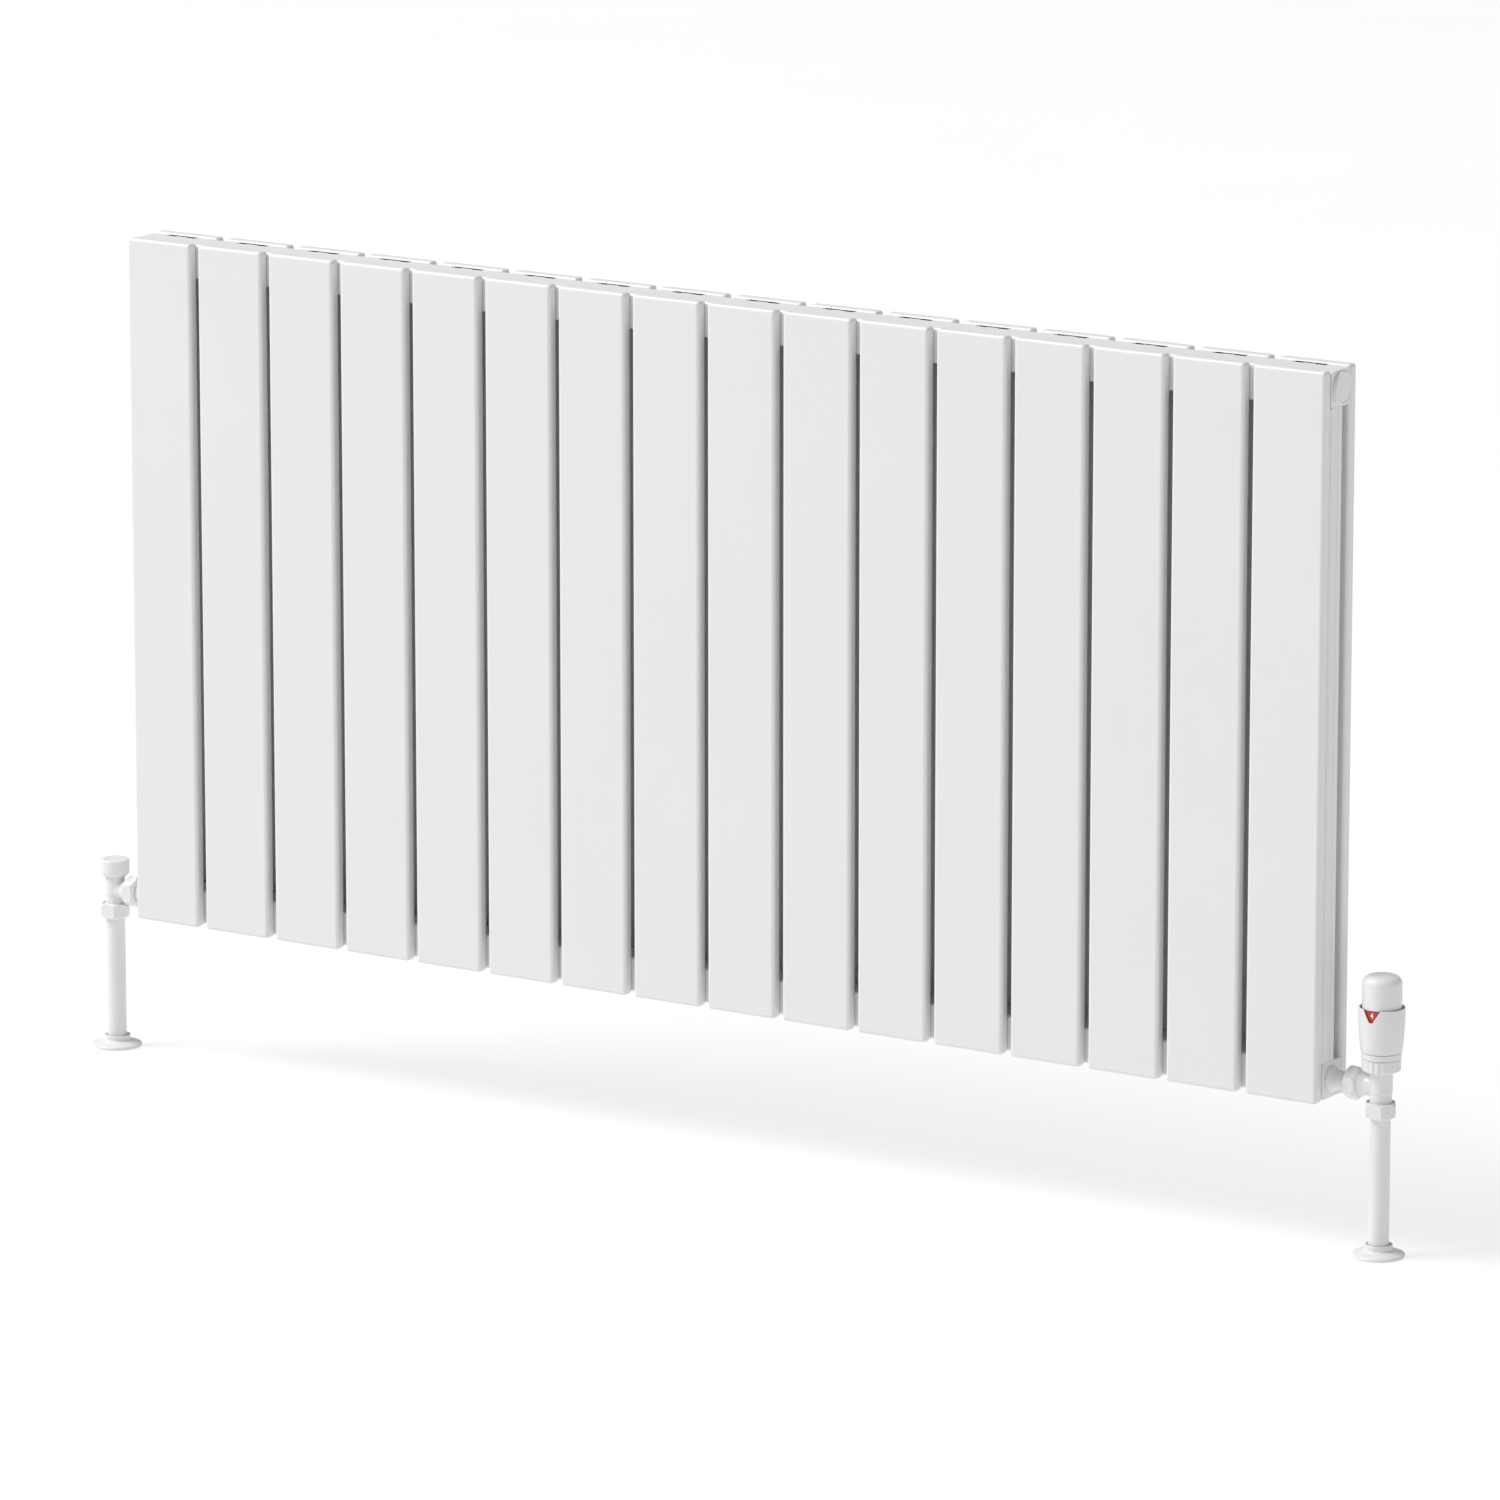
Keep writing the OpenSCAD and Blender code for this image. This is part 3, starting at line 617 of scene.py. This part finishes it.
def end_plugs():
    piece(plug_flange(0), "blanking_plug_disc", [FITTING_PAINT],
          ["blanking_plug"], "radiator", TOP_LINE @ AT_RIGHT_END)
    piece(plug_flange(3.1), "vent_plug_disc", [FITTING_PAINT],
          ["vent_plug"], "radiator", TOP_LINE @ AT_LEFT_END)
    stem = lathe([(0, -3.4, 0), (1.2, -3.4, 0), (3, -2, 0.2), (3, 3.0, 0.3), (0, 3.0, 0)],
                 False, 48)
    key = block(Vector((-2.1, -2.1, 2.6)) * MM, Vector((2.1, 2.1, 6.2)) * MM, 0.4 * MM, 2)
    piece(joined((stem, HERE), (key, HERE)), "vent_screw_brass", [BRASS_SIDE],
          ["vent_screw"], "vent_screw", TOP_LINE @ AT_LEFT_END)


# ---- unions, nuts and pipework ----------------------------------------------

def hex_reach(angle, flats):
    """Distance from the axis to a hexagon's side; a corner lies at angle 0."""
    turned = (angle + pi / 6) % (pi / 3) - pi / 6
    return flats / 2 / cos(pi / 6 - abs(turned))


def nut(flats, z0, z1, foot, head, bore0, bore1, sink):
    """A hexagon nut; foot and head are (face radius, slope) of its turned-off corners,
    bore0 and bore1 its hole at each end, and sink how deep the upper face is let in."""
    face0, slope0 = foot
    face1, slope1 = head

    def side(angle):
        return hex_reach(angle, flats)

    def inner(angle, face):
        return min(face, side(angle) - 0.03)

    def low_edge(angle):
        return side(angle), z0 + max(0.12, (side(angle) - face0) * slope0)

    def high_edge(angle):
        return side(angle), z1 - max(0.12, (side(angle) - face1) * slope1)

    def rim(angle):
        return max(bore1 + 0.5, min(face1, side(angle)) - 0.9)

    loops = [
        lambda a: (bore0, z0 + 0.3), lambda a: (bore0 + 0.3, z0),
        lambda a: (inner(a, face0), z0), low_edge, high_edge,
        lambda a: (inner(a, face1), z1), lambda a: (rim(a), z1 - 0.05),
        lambda a: (min(rim(a) - 0.15, bore1 + 1.4), z1 - sink * 0.9),
        lambda a: (bore1, z1 - sink)]
    return stacked(loops, 72)


def union_nuts():
    parts = [(nut(24.4, 15.5, 28.0, (11.0, 0.78), (10.75, 1.21), 8.15, 10.0, 0.25), end)
             for end in HEADER_ENDS]
    piece(joined(*parts), "union_nuts_pair", [FITTING_PAINT], ["union_nuts"],
          "radiator")


def union_tails():
    profile = [(5.5, -10, 0), (9.4, -10, 0.5), (9.4, 0.02, 0), (11, 0.02, 0.25), (11, 1.8, 0.5),
               (8.5, 5.0, 0.8), (8, 6.4, 0.6), (8, 17.1, 0.2), (9.7, 17.1, 0.2), (9.7, 18.5, 0.3),
               (5.5, 18.5, 0.3)]
    parts = [(lathe(profile), end) for end in HEADER_ENDS]
    piece(joined(*parts), "union_tails_pair", [FITTING_PAINT], ["union_tails"],
          "radiator")


def compression_nuts():
    parts = [(nut(24, -26, -12.5, (9.7, 0.7), (12.0, 1.33), 8.4, 9.75, 1.5), place)
             for place in VALVES]
    piece(joined(*parts), "compression_nuts_pair", [FITTING_PAINT],
          ["compression_nuts"], "radiator")


def pipework():
    foot = (FLOOR_Z - PIPE_LINE) / MM
    cover = [(7.6, foot, 0), (8.35, foot, 0.2), (8.35, -26.02, 0.15), (7.6, -26.02, 0.1)]
    collar = [(8.45, 1.6, 0), (18.65, 1.6, 0), (18.65, 0, 0.2), (21.65, 0, 0.9),
              (21.65, 3.0, 1.4), (19.6, 3.35, 0.8), (12.6, 5.6, 1.6), (11.5, 6.6, 0.5),
              (11.5, 10.5, 0.45), (10.3, 10.5, 0.35), (10.2, 8.5, 0.4), (8.45, 8.5, 0.2)]
    standing = [(r, z + foot, b) for r, z, b in collar]
    for name, profile, node in (("pipe_covers_pair", cover, "pipe_covers"),
                                ("floor_collars_pair", standing, "floor_collars")):
        parts = [(lathe(profile), place) for place in VALVES]
        piece(joined(*parts), name, [COVER_PLASTIC], [node], "radiator")
    tube = [(6.8, foot, 0.1), (7.5, foot, 0.1), (7.5, -12.3, 0.1), (6.8, -12.3, 0.1)]
    parts = [(lathe(tube, turns=64), place) for place in VALVES]
    piece(joined(*parts), "pipes_pair", [COPPER], ["pipes"], "radiator")


# ---- valve bodies -----------------------------------------------------------

FORGING_GRAIN = 0.42 * MM
FORGING_PASSES = 5


def forged(parts):
    """Overlapping solids run together into one forged body with soft inside corners."""
    bm = with_modifier(joined(*parts), "REMESH", mode="VOXEL", voxel_size=FORGING_GRAIN)
    for _ in range(FORGING_PASSES):
        bmesh.ops.smooth_vert(bm, verts=bm.verts, factor=0.5, use_axis_x=True, use_axis_y=True,
                              use_axis_z=True)
    return bm


def valve_body(column_d, reach, top, extra, name, node, place):
    """Column, pipe stub and branch; reach runs from the axis to the union nut, top is the
    column's top, and extra holds more solids to run in."""
    column = column_d / 2
    branch = (column_d - 1.8) / 2
    upright = lathe([(0, -22.5, 0), (9.2, -22.5, 0.5), (9.6, -21.8, 0.3), (9.6, -13.2, 0.3),
                     (column - 0.6, -12.8, 0.2), (column - 0.6, -5.4, 0.3), (column, -4.9, 0.3),
                     (column, top, 0.4), (0, top, 0)], False)
    side = lathe([(0, 0, 0), (branch, 0, 0), (branch, reach - 4.6, 1.2),
                  (10.65, reach - 0.1, 0.25), (9.9, reach - 0.05, 0.2),
                  (9.9, reach + 9.2, 0.4), (0, reach + 9.2, 0)], False)
    sideways = Matrix.Rotation(pi / 2, 4, "Y")
    bm = forged([(upright, HERE), (side, sideways)] + extra)
    piece(bm, name, [FITTING_PAINT], [node], "radiator", place, even=False)


def valve_bodies():
    head_seat = lathe([(0, 14, 0), (9.6, 14, 0), (14, 15, 0.3), (14, 21, 0.4), (0, 21, 0)], False)
    valve_body(19.3, 17.6, 15.2, [(head_seat, HERE)], "trv_body_forged", "trv_body", AT_TRV)
    valve_body(17.5, 13.8, 14.6, [], "lock_body_forged", "lock_body", AT_LOCK)


# ---- thermostatic head ------------------------------------------------------

def levels(node):
    """A round node's foot and top above the valve's centre line, and its radius, in mm."""
    low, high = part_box(node)
    return (low.z - PIPE_LINE) / MM, (high.z - PIPE_LINE) / MM, (high.x - low.x) / 2 / MM


HEAD_FOOT, NUT_TOP, _ = levels("trv_head_nut")
WHEEL_FOOT, WHEEL_RIM, _ = levels("trv_handwheel")
CAP_FOOT, CAP_TOP, CAP_RADIUS = levels("trv_sensor_cap")
RING_FOOT, RING_TOP, RING_RADIUS = levels("trv_scale_ring")
RIBS = 20
RIB_ROOT = 15.4
RIB_RISE = 0.6


def head_nut():
    """The clamp nut, with rounded grip ribs that fade out at both ends."""
    def rib(angle, share):
        wave = 0.5 + 0.5 * cos(angle * RIBS)
        return RIB_ROOT + RIB_RISE * share * min(1.0, 1.7 * wave ** 1.5)

    z0, z1 = HEAD_FOOT, NUT_TOP
    loops = [
        lambda a: (13.0, z0 + 0.8), lambda a: (13.4, z0), lambda a: (14.6, z0),
        lambda a: (15.2, z0 + 0.25), lambda a: (rib(a, 0.0), z0 + 0.6),
        lambda a: (rib(a, 0.8), z0 + 1.0), lambda a: (rib(a, 1.0), z0 + 1.6),
        lambda a: (rib(a, 1.0), z1 - 1.4), lambda a: (rib(a, 0.8), z1 - 0.9),
        lambda a: (rib(a, 0.0), z1 - 0.5), lambda a: (15.2, z1 - 0.15),
        lambda a: (14.8, z1), lambda a: (13.1, z1), lambda a: (12.9, z1 - 0.3)]
    piece(stacked(loops, RIBS * 12), "trv_head_nut_ribbed", [HEAD_PLASTIC],
          ["trv_head_nut"], "radiator", AT_TRV)


def head_base():
    band = NUT_TOP + 0.25
    top = WHEEL_FOOT - 0.32
    tower = CAP_FOOT - 0.1
    profile = [(9.5, 22, 0.2), (12.6, 22, 0.3), (12.6, band, 0), (16.2, band, 0.35),
               (16.45, top, 0.4), (12, top, 0.2), (12, tower, 0.2), (9.5, tower, 0.2)]
    piece(lathe(profile), "trv_head_base_band", [HEAD_PLASTIC],
          ["trv_head_base"], "radiator", AT_TRV)


def handwheel():
    """The turning sleeve with its blunt notch."""
    foot, rim = 16.7, 19.0
    wall = 1.2
    hip, hip_z = foot + 1, WHEEL_FOOT + 7
    chest, chest_z = rim - 0.1, WHEEL_FOOT + 24
    profile = [(12.3, WHEEL_FOOT, 0.2), (foot, WHEEL_FOOT, 0.5), (hip, hip_z, 4.5),
               (chest, chest_z, 7), (rim, WHEEL_RIM, 0.45), (rim - wall, WHEEL_RIM, 0.4),
               (chest - wall, chest_z, 0), (hip - wall, hip_z, 0),
               (foot - wall + 0.3, WHEEL_FOOT + 2.4, 0.5), (12.3, WHEEL_FOOT + 2.4, 0.3)]
    bm = lathe(profile, turns=128)
    half, tip, deep = 7.7 * MM, 1.5 * MM, 10.2 * MM  # of the notch
    rim_z = WHEEL_RIM * MM
    # the head's own frame is turned half a turn, so the front is at +Y
    notch = prism([(x, 5 * MM, rim_z + z) for x, z in
                   ((-half, 0), (-half, MM), (half, MM), (half, 0), (tip, -deep), (-tip, -deep))],
                  (0, 30 * MM, 0))
    bmesh.ops.bevel(notch, geom=[e for e in notch.edges if lies_along(e, 1)
                                 and max(v.co.z for v in e.verts) < rim_z - 0.9 * deep],
                    offset=0.5 * MM, segments=3, profile=0.5, affect="EDGES", material=-1)
    bm = cut(bm, notch, [HEAD_PLASTIC])
    bm = with_modifier(bm, "BEVEL", width=0.18 * MM, segments=2, limit_method="ANGLE",
                       angle_limit=radians(45))
    piece(bm, "trv_handwheel_sleeve", [HEAD_PLASTIC], ["trv_handwheel"],
          "handwheel", AT_TRV)


def scale_ring():
    profile = [(RING_RADIUS - 0.45, RING_FOOT, 0.1), (RING_RADIUS, RING_FOOT, 0.15),
               (RING_RADIUS, RING_TOP, 0.2), (RING_RADIUS - 0.45, RING_TOP, 0.1)]
    # the ring's top edge, seen in the gap under the handwheel's rim, is darkened: painted shade
    dark_above(SCALE_RED, PIPE_LINE + (RING_TOP - 0.7) * MM, 0.15 * MM, (0.1, 0.05, 0.045, 1))
    piece(lathe(profile, turns=128), "trv_scale_ring_band", [SCALE_RED],
          ["trv_scale_ring"], "radiator", AT_TRV)


DIGIT_STEP = radians(50)
DIGIT_AT_FRONT = 4
DIGIT_HEIGHT = 4.6 * MM
DIGIT_DROP = 4.5


def scale_numerals():
    """Numbers 0 to 5, wrapped on the scale ring and a hair proud of it."""
    whole = bmesh.new()
    ring = RING_RADIUS * MM
    for number in range(6):
        curve = bpy.data.curves.new("numeral", "FONT")
        curve.body = str(number)
        curve.size = DIGIT_HEIGHT * 1.35
        curve.extrude = 0.12 * MM
        curve.offset = 0.09 * MM
        curve.resolution_u = 3
        curve.align_x = "CENTER"
        curve.align_y = "CENTER"
        holder = bpy.data.objects.new("numeral", curve)
        bpy.context.scene.collection.objects.link(holder)
        graph = bpy.context.evaluated_depsgraph_get()
        flat = bpy.data.meshes.new_from_object(holder.evaluated_get(graph))
        bm = bmesh.new()
        bm.from_mesh(flat)
        bmesh.ops.remove_doubles(bm, verts=bm.verts, dist=1e-7)
        facing = -pi / 2 + (number - DIGIT_AT_FRONT) * DIGIT_STEP
        for vert in bm.verts:
            angle = facing + vert.co.x / ring
            radius = ring + vert.co.z
            vert.co = Vector((radius * cos(angle), radius * sin(angle),
                              vert.co.y + (WHEEL_RIM - DIGIT_DROP) * MM))
        bm.to_mesh(flat)
        bm.free()
        whole.from_mesh(flat)
        bpy.data.objects.remove(holder)
        bpy.data.curves.remove(curve)
        bpy.data.meshes.remove(flat)
    piece(whole, "trv_scale_numerals", [SCALE_WHITE], [], "radiator",
          Matrix.Translation(TRV), even=False)


def sensor_cap():
    r, top = CAP_RADIUS, CAP_TOP
    outer = [(11, CAP_FOOT, 0.2), (r - 0.05, CAP_FOOT, 0.3), (r, top - 0.9, 6.4),
             (7.0, top - 0.12, 3.0), (0, top, 0)]
    inner = [(0, top - 2, 0), (8, top - 2.2, 0), (r - 2, top - 8, 0), (r - 2, CAP_FOOT + 2, 0.5),
             (11, CAP_FOOT + 2, 0.3)]
    piece(lathe_shell(outer, inner), "trv_sensor_cap_dome", [CAP_PLASTIC],
          ["trv_sensor_cap"], "radiator", AT_TRV)


SPRING_TURNS = 5
SPRING_WIRE = 0.8 * MM


def return_spring():
    """The wound spring under the spindle's washer, built at one fixed length; the real spring
    shortens as the disc closes.
    """
    low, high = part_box("trv_spring")
    steps = 32 * SPRING_TURNS
    climb = (high.z - low.z - SPRING_WIRE) / steps
    bm = bmesh.new()
    bmesh.ops.create_circle(bm, segments=10, radius=SPRING_WIRE / 2)
    bmesh.ops.rotate(bm, cent=(0, 0, 0), matrix=Matrix.Rotation(pi / 2, 3, "X"), verts=bm.verts)
    bmesh.ops.translate(bm, vec=((high.x - low.x - SPRING_WIRE) / 2, 0, SPRING_WIRE / 2),
                        verts=bm.verts)
    first = bm.edges[:]
    wound = bmesh.ops.spin(bm, geom=bm.verts[:] + first, cent=(0, 0, 0), axis=(0, 0, 1),
                           dvec=(0, 0, climb), angle=tau * SPRING_TURNS, steps=steps)["geom_last"]
    for ring in (first, [g for g in wound if isinstance(g, bmesh.types.BMEdge)]):
        bmesh.ops.contextual_create(bm, geom=ring)
    coil = piece(clean(bm), "trv_spring_coils", [STEEL], ["trv_spring"], "radiator",
                 Matrix.Translation((TRV.x, TRV.y, low.z)), even=False)
    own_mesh(coil)


# ---- lockshield cap and wall fixing -----------------------------------------

def lock_cap():
    foot, top, r = levels("lock_cap")
    outer = [(9.35, foot, 0.2), (10.4, foot, 0.3), (r, foot + 2.6, 1.0),
             (r, top - 0.1, 1.5), (r - 3.2, top, 0.8), (0, top, 0)]
    inner = [(0, top - 1.6, 0), (8.2, top - 1.6, 0.3), (8.2, foot + 2.9, 0.2),
             (9.35, foot + 2.9, 0.2)]
    piece(lathe_shell(outer, inner), "lock_cap_moulded", [CAP_PLASTIC],
          ["lock_cap"], "lockshield_cap", AT_LOCK)


def brackets():
    for node, name, width in (("wall_brackets", "wall_brackets_bent", 0.5),
                              ("hanging_lugs", "hanging_lugs_welded", 0.35)):
        bm = cad_copy(node)
        bmesh.ops.dissolve_limit(bm, angle_limit=radians(1), verts=bm.verts, edges=bm.edges)
        bm = with_modifier(bm, "BEVEL", width=width * MM, segments=2, limit_method="ANGLE",
                           angle_limit=radians(50))
        piece(bm, name, [BRACKET_PAINT], [node], "radiator")


# ---- the whole object -------------------------------------------------------

flat_panels(FRONT, "front_panel_tube")
flat_panels(BACK, "back_panel_tube")
for node in ("top_header", "bottom_header"):
    header(node, node + "_tube")
    header_welds(node, node + "_welds")
risers()
end_plugs()
union_nuts()
union_tails()
compression_nuts()
pipework()
valve_bodies()
head_nut()
head_base()
handwheel()
scale_ring()
scale_numerals()
sensor_cap()
return_spring()
lock_cap()
brackets()
dressed("trv_insert", BRASS, "radiator", "trv_insert_turned")
dressed("trv_spindle", STEEL, "valve_spindle", "trv_spindle_ground")
dressed("trv_sensor", ALUMINIUM, "wax_sensor", "trv_sensor_capsule")
dressed("lock_spindle", BRASS, "lockshield_spindle", "lock_spindle_turned")
dressed("lock_plug", BRASS, "lockshield_plug", "lock_plug_turned")


# ---- floor, light and camera ------------------------------------------------

def floor():
    bm = bmesh.new()
    bmesh.ops.create_grid(bm, x_segments=4, y_segments=4, size=40)
    bmesh.ops.translate(bm, vec=(0, 0, FLOOR_Z - 0.1 * MM), verts=bm.verts)
    mesh = bpy.data.meshes.new("floor")
    bm.to_mesh(mesh)
    bm.free()
    made = bpy.data.objects.new("floor", mesh)
    bpy.context.scene.collection.objects.link(made)
    material = bpy.data.materials.new("pale floor")
    material.use_nodes = True
    tree = material.node_tree
    where = add(tree, "ShaderNodeTexCoord").outputs["Object"]
    shade = mixed(tree, spread(tree, noise(tree, where, 3.0, 4.0), 0.0, 1.0),
                  grey(0.30), grey(0.29))
    surface = tree.nodes["Principled BSDF"]
    tree.links.new(shade, surface.inputs["Base Color"])
    surface.inputs["Roughness"].default_value = 0.9
    surface.inputs["Emission Color"].default_value = (1, 1, 1, 1)
    surface.inputs["Emission Strength"].default_value = 0.71
    mesh.materials.append(material)


def soft_light(name, azimuth, elevation, distance, size, power):
    """An area lamp aimed at the radiator; azimuth is from the front towards +X."""
    lamp = bpy.data.lights.new(name, "AREA")
    lamp.shape = "SQUARE"
    lamp.size = size
    lamp.energy = power
    made = bpy.data.objects.new(name, lamp)
    a, e = radians(azimuth), radians(elevation)
    away = Vector((sin(a) * cos(e), -cos(a) * cos(e), sin(e)))
    made.location = away * distance
    made.rotation_euler = away.to_track_quat("Z", "Y").to_euler()
    bpy.context.scene.collection.objects.link(made)
    made.visible_camera = False


def studio():
    """An even pale surround; it is white where the camera looks straight at it."""
    world = bpy.data.worlds.new("studio")
    bpy.context.scene.world = world
    world.use_nodes = True
    tree = world.node_tree
    glow = tree.nodes["Background"]
    glow.inputs["Color"].default_value = (1, 1, 1, 1)
    glow.inputs["Strength"].default_value = 0.44
    seen = add(tree, "ShaderNodeBackground", {"Color": (1, 1, 1, 1), "Strength": 1.0})
    direct = add(tree, "ShaderNodeLightPath").outputs["Is Camera Ray"]
    both = add(tree, "ShaderNodeMixShader", {0: direct, 1: glow.outputs[0], 2: seen.outputs[0]})
    tree.links.new(both.outputs[0], tree.nodes["World Output"].inputs["Surface"])
    soft_light("key", -57, 50, 15, 7, 1880)
    bpy.context.scene.view_settings.view_transform = "Standard"


def camera():
    lens = bpy.data.cameras.new("camera")
    lens.sensor_width = 36
    lens.lens = 230.9
    lens.clip_end = 100
    made = bpy.data.objects.new("camera", lens)
    made.location = (4.260, -6.635, 1.682)
    made.rotation_euler = (radians(90 - 12.69), 0, radians(32.74))
    bpy.context.scene.collection.objects.link(made)
    bpy.context.scene.camera = made


floor()
studio()
camera()
